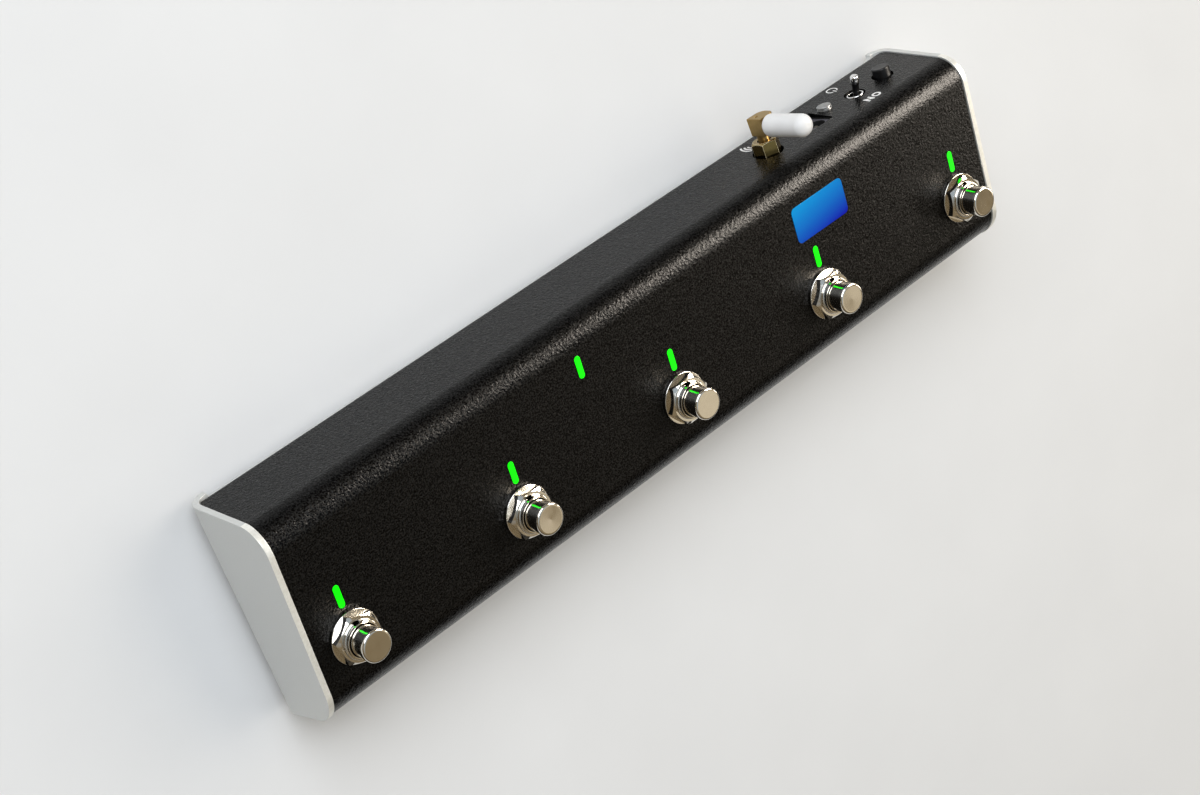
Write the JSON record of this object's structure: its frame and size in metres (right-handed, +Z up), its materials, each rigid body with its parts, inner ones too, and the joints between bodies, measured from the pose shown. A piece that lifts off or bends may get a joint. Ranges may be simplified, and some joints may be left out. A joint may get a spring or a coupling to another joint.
{
  "type": "foot controller",
  "caption": "Low sloping foot controller with a row of press switches, light windows behind them and rear connectors.",
  "frame": {"origin": "on the floor under the middle of the base, in the plane of the four soles", "axes": "+X along the row of switches, +Y to the rear wall with the connectors, +Z up"},
  "size_m": [0.296, 0.0818, 0.0465],
  "materials": {
    "end_metal": "satin",
    "cover_paint": "satin with a fine sparkle",
    "foot_rubber": "matte",
    "chromed": "polished",
    "case_plastic": "matte",
    "tinned": "satin",
    "light_lens": "glowing",
    "status_lens": "glowing",
    "light_chip": "gloss",
    "circuit_board": "satin",
    "post_brass": "satin",
    "shield_steel": "satin",
    "chip_plastic": "matte",
    "header_plastic": "matte",
    "ribbon_plastic": "satin",
    "battery_film": "satin",
    "foam": "matte",
    "gold_brass": "polished",
    "elbow_brass": "satin",
    "white_plastic": "matte",
    "socket_plastic": "matte",
    "lamp_lens": "satin",
    "black_plastic": "satin",
    "button_plastic": "matte"
  },
  "bodies": {
    "housing": {"base_chassis": "end_metal", "top_cover": "cover_paint", "rubber_feet": "foot_rubber", "switch_bushings": "chromed", "switch_washers": "chromed", "switch_nuts": "chromed", "switch_bodies": "case_plastic", "switch_lugs": "tinned", "light_pipes": "light_lens", "status_light_pipe": "status_lens", "light_chips": "light_chip", "light_board": "circuit_board", "light_board_spacers": "post_brass", "main_board": "circuit_board", "main_board_standoffs": "post_brass", "wireless_module": "shield_steel", "board_chips": "chip_plastic", "cable_headers": "header_plastic", "ribbon_cable": "ribbon_plastic", "battery_pack": "battery_film", "battery_pad": "foam", "antenna_socket": "gold_brass", "antenna_nut": "gold_brass", "dc_jack": "socket_plastic", "dc_jack_pin": "chromed", "power_light": "lamp_lens", "power_led": "light_chip", "toggle_body": "black_plastic", "toggle_bushing": "chromed", "tact_switch": "button_plastic"},
    "plunger_1": {"plunger_1": "chromed"},
    "plunger_2": {"plunger_2": "chromed"},
    "plunger_3": {"plunger_3": "chromed"},
    "plunger_4": {"plunger_4": "chromed"},
    "plunger_5": {"plunger_5": "chromed"},
    "power_lever": {"toggle_lever": "black_plastic"},
    "function_button": {"function_cap": "button_plastic"},
    "antenna": {"antenna_elbow": "elbow_brass", "antenna_sleeve": "white_plastic"}
  },
  "joints": [
    {"name": "press_1", "type": "slide", "parent": "housing", "child": "plunger_1", "axis": [0, 0.1097, -0.994], "range_m": [0, 0.0022], "stiffness_N_per_m": 4000, "springref_m": -0.002},
    {"name": "press_2", "type": "slide", "parent": "housing", "child": "plunger_2", "axis": [0, 0.1097, -0.994], "range_m": [0, 0.0022], "stiffness_N_per_m": 4000, "springref_m": -0.002},
    {"name": "press_3", "type": "slide", "parent": "housing", "child": "plunger_3", "axis": [0, 0.1097, -0.994], "range_m": [0, 0.0022], "stiffness_N_per_m": 4000, "springref_m": -0.002},
    {"name": "press_4", "type": "slide", "parent": "housing", "child": "plunger_4", "axis": [0, 0.1097, -0.994], "range_m": [0, 0.0022], "stiffness_N_per_m": 4000, "springref_m": -0.002},
    {"name": "press_5", "type": "slide", "parent": "housing", "child": "plunger_5", "axis": [0, 0.1097, -0.994], "range_m": [0, 0.0022], "stiffness_N_per_m": 4000, "springref_m": -0.002},
    {"name": "function_press", "type": "slide", "parent": "housing", "child": "function_button", "axis": [0, -1, 0], "range_m": [0, 0.00035], "stiffness_N_per_m": 3000, "springref_m": -0.0005},
    {"name": "power_switching", "type": "hinge", "parent": "housing", "child": "power_lever", "pos_m": [0.1164, 0.0302, 0.0205], "axis": [1, 0, 0], "range_deg": [-30, 0]},
    {"name": "antenna_turn", "type": "hinge", "parent": "housing", "child": "antenna", "pos_m": [0.0745, 0.0425, 0.0205], "axis": [0, 1, 0], "range_deg": [-90, 90]}
  ]
}
